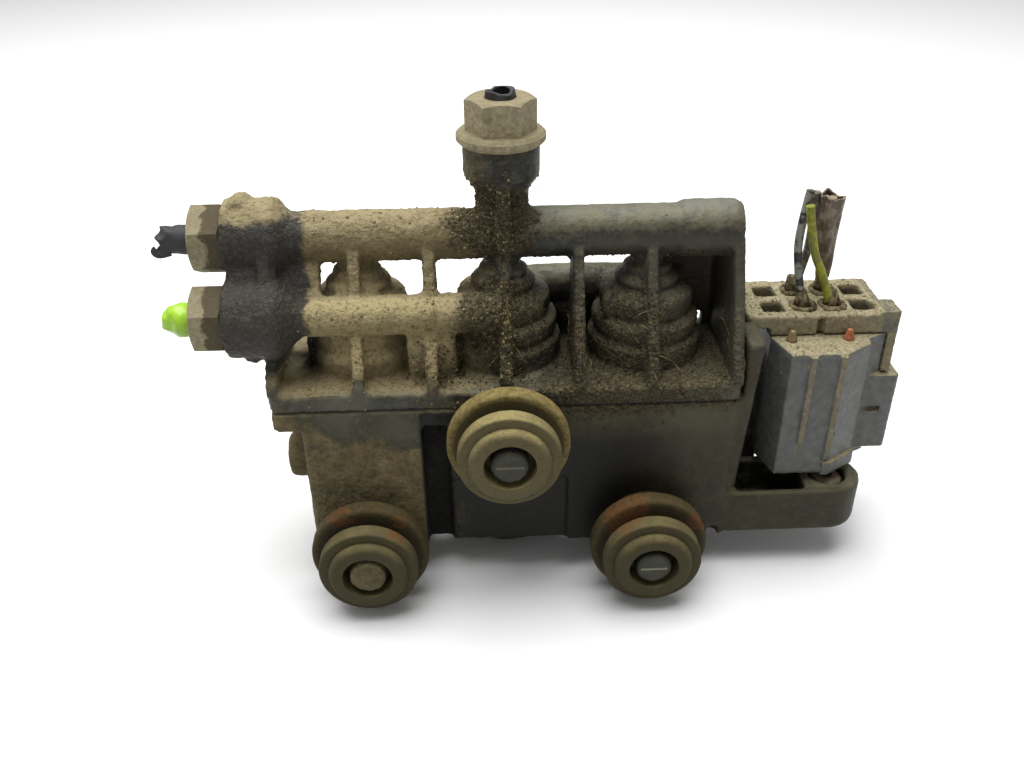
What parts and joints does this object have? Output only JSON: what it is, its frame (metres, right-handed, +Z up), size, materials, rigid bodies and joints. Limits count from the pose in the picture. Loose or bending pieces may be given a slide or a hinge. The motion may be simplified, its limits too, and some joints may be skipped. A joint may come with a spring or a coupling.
{
  "type": "air suspension valve block",
  "caption": "Solenoid valve block for air suspension: black ribbed manifold on a coil housing, rubber isolators on pegs, hex pipe fittings with cut pipes and an inline plug with cut leads.",
  "frame": {"origin": "on the axis of the upper rubber isolator, at the middle of its locating disc, where the bracket's hole centres it", "axes": "+Z up, +X right along the row of valves towards the plug, -Y out of the front along the isolators' axes"},
  "size_m": [0.1548, 0.045, 0.1046],
  "materials": {
    "black_pipe": "black nylon tube with a torn end",
    "bobbin_plastic": "natural moulded plastic",
    "fitting_brass": "dull brass under khaki dust",
    "header_plastic": "mid grey moulded plastic with dust in its folds",
    "housing_plastic": "matte glass-filled black plastic with dust and a blue-grey cast where clean",
    "isolator_rubber": "aged pale olive rubber with rusty stains",
    "lead_brown": "brown insulation",
    "lead_dark": "dark grey insulation",
    "lead_striped": "grey and black striped insulation",
    "lead_yellow": "yellow-green insulation",
    "lime_pipe": "lime green nylon tube, crimped at its end",
    "magnet_steel": "turned soft iron",
    "manifold_plastic": "matte glass-filled black plastic caked with khaki road dust",
    "orange_peg": "orange plastic",
    "pale_peg": "pale dusty plastic",
    "plug_metal": "pressed steel plug",
    "plug_plastic": "grey moulded plastic under tan dust",
    "screw_steel": "plated steel, dulled by dirt",
    "seal_rubber": "smooth black rubber",
    "spring_steel": "drawn spring wire",
    "terminal_metal": "tinned brass blade",
    "winding_copper": "enamelled copper wire"
  },
  "bodies": {
    "base": {"bobbin_1": "bobbin_plastic", "bobbin_2": "bobbin_plastic", "bobbin_3": "bobbin_plastic", "clamp_screw_1": "screw_steel", "clamp_screw_2": "screw_steel", "clamp_screw_3": "screw_steel", "coil_housing": "housing_plastic", "fitting_lower": "fitting_brass", "fitting_seal_lower": "seal_rubber", "fitting_seal_top": "seal_rubber", "fitting_seal_upper": "seal_rubber", "fitting_top": "fitting_brass", "fitting_upper": "fitting_brass", "foot_screw": "screw_steel", "gallery_plug": "plug_metal", "header_shroud": "header_plastic", "isolator_left": "isolator_rubber", "isolator_right": "isolator_rubber", "isolator_upper": "isolator_rubber", "joint_gasket": "seal_rubber", "lead_brown": "lead_brown", "lead_dark": "lead_dark", "lead_striped": "lead_striped", "lead_yellow": "lead_yellow", "lock_peg_1": "pale_peg", "lock_peg_2": "orange_peg", "manifold": "manifold_plastic", "pipe_lower": "lime_pipe", "pipe_top": "black_pipe", "pipe_upper": "black_pipe", "plug_body": "plug_plastic", "pole_core_1": "magnet_steel", "pole_core_2": "magnet_steel", "pole_core_3": "magnet_steel", "return_spring_1": "spring_steel", "return_spring_2": "spring_steel", "return_spring_3": "spring_steel", "terminal_1": "terminal_metal", "terminal_2": "terminal_metal", "terminal_3": "terminal_metal", "terminal_4": "terminal_metal", "winding_1": "winding_copper", "winding_2": "winding_copper", "winding_3": "winding_copper", "yoke_1": "magnet_steel", "yoke_2": "magnet_steel", "yoke_3": "magnet_steel"},
    "valve_plunger_1": {"plunger_1": "magnet_steel", "plunger_seal_1": "seal_rubber"},
    "valve_plunger_2": {"plunger_2": "magnet_steel", "plunger_seal_2": "seal_rubber"},
    "valve_plunger_3": {"plunger_3": "magnet_steel", "plunger_seal_3": "seal_rubber"}
  },
  "joints": [
    {"name": "plunger_slide_1", "type": "slide", "parent": "base", "child": "valve_plunger_1", "axis": [0, 0, -1], "range_m": [0, 0.0009], "stiffness_N_per_m": 400, "springref_m": -0.002, "deforming": ["return_spring_1"]},
    {"name": "plunger_slide_2", "type": "slide", "parent": "base", "child": "valve_plunger_2", "axis": [0, 0, -1], "range_m": [0, 0.0009], "stiffness_N_per_m": 400, "springref_m": -0.002, "deforming": ["return_spring_2"]},
    {"name": "plunger_slide_3", "type": "slide", "parent": "base", "child": "valve_plunger_3", "axis": [0, 0, -1], "range_m": [0, 0.0009], "stiffness_N_per_m": 400, "springref_m": -0.002, "deforming": ["return_spring_3"]}
  ]
}
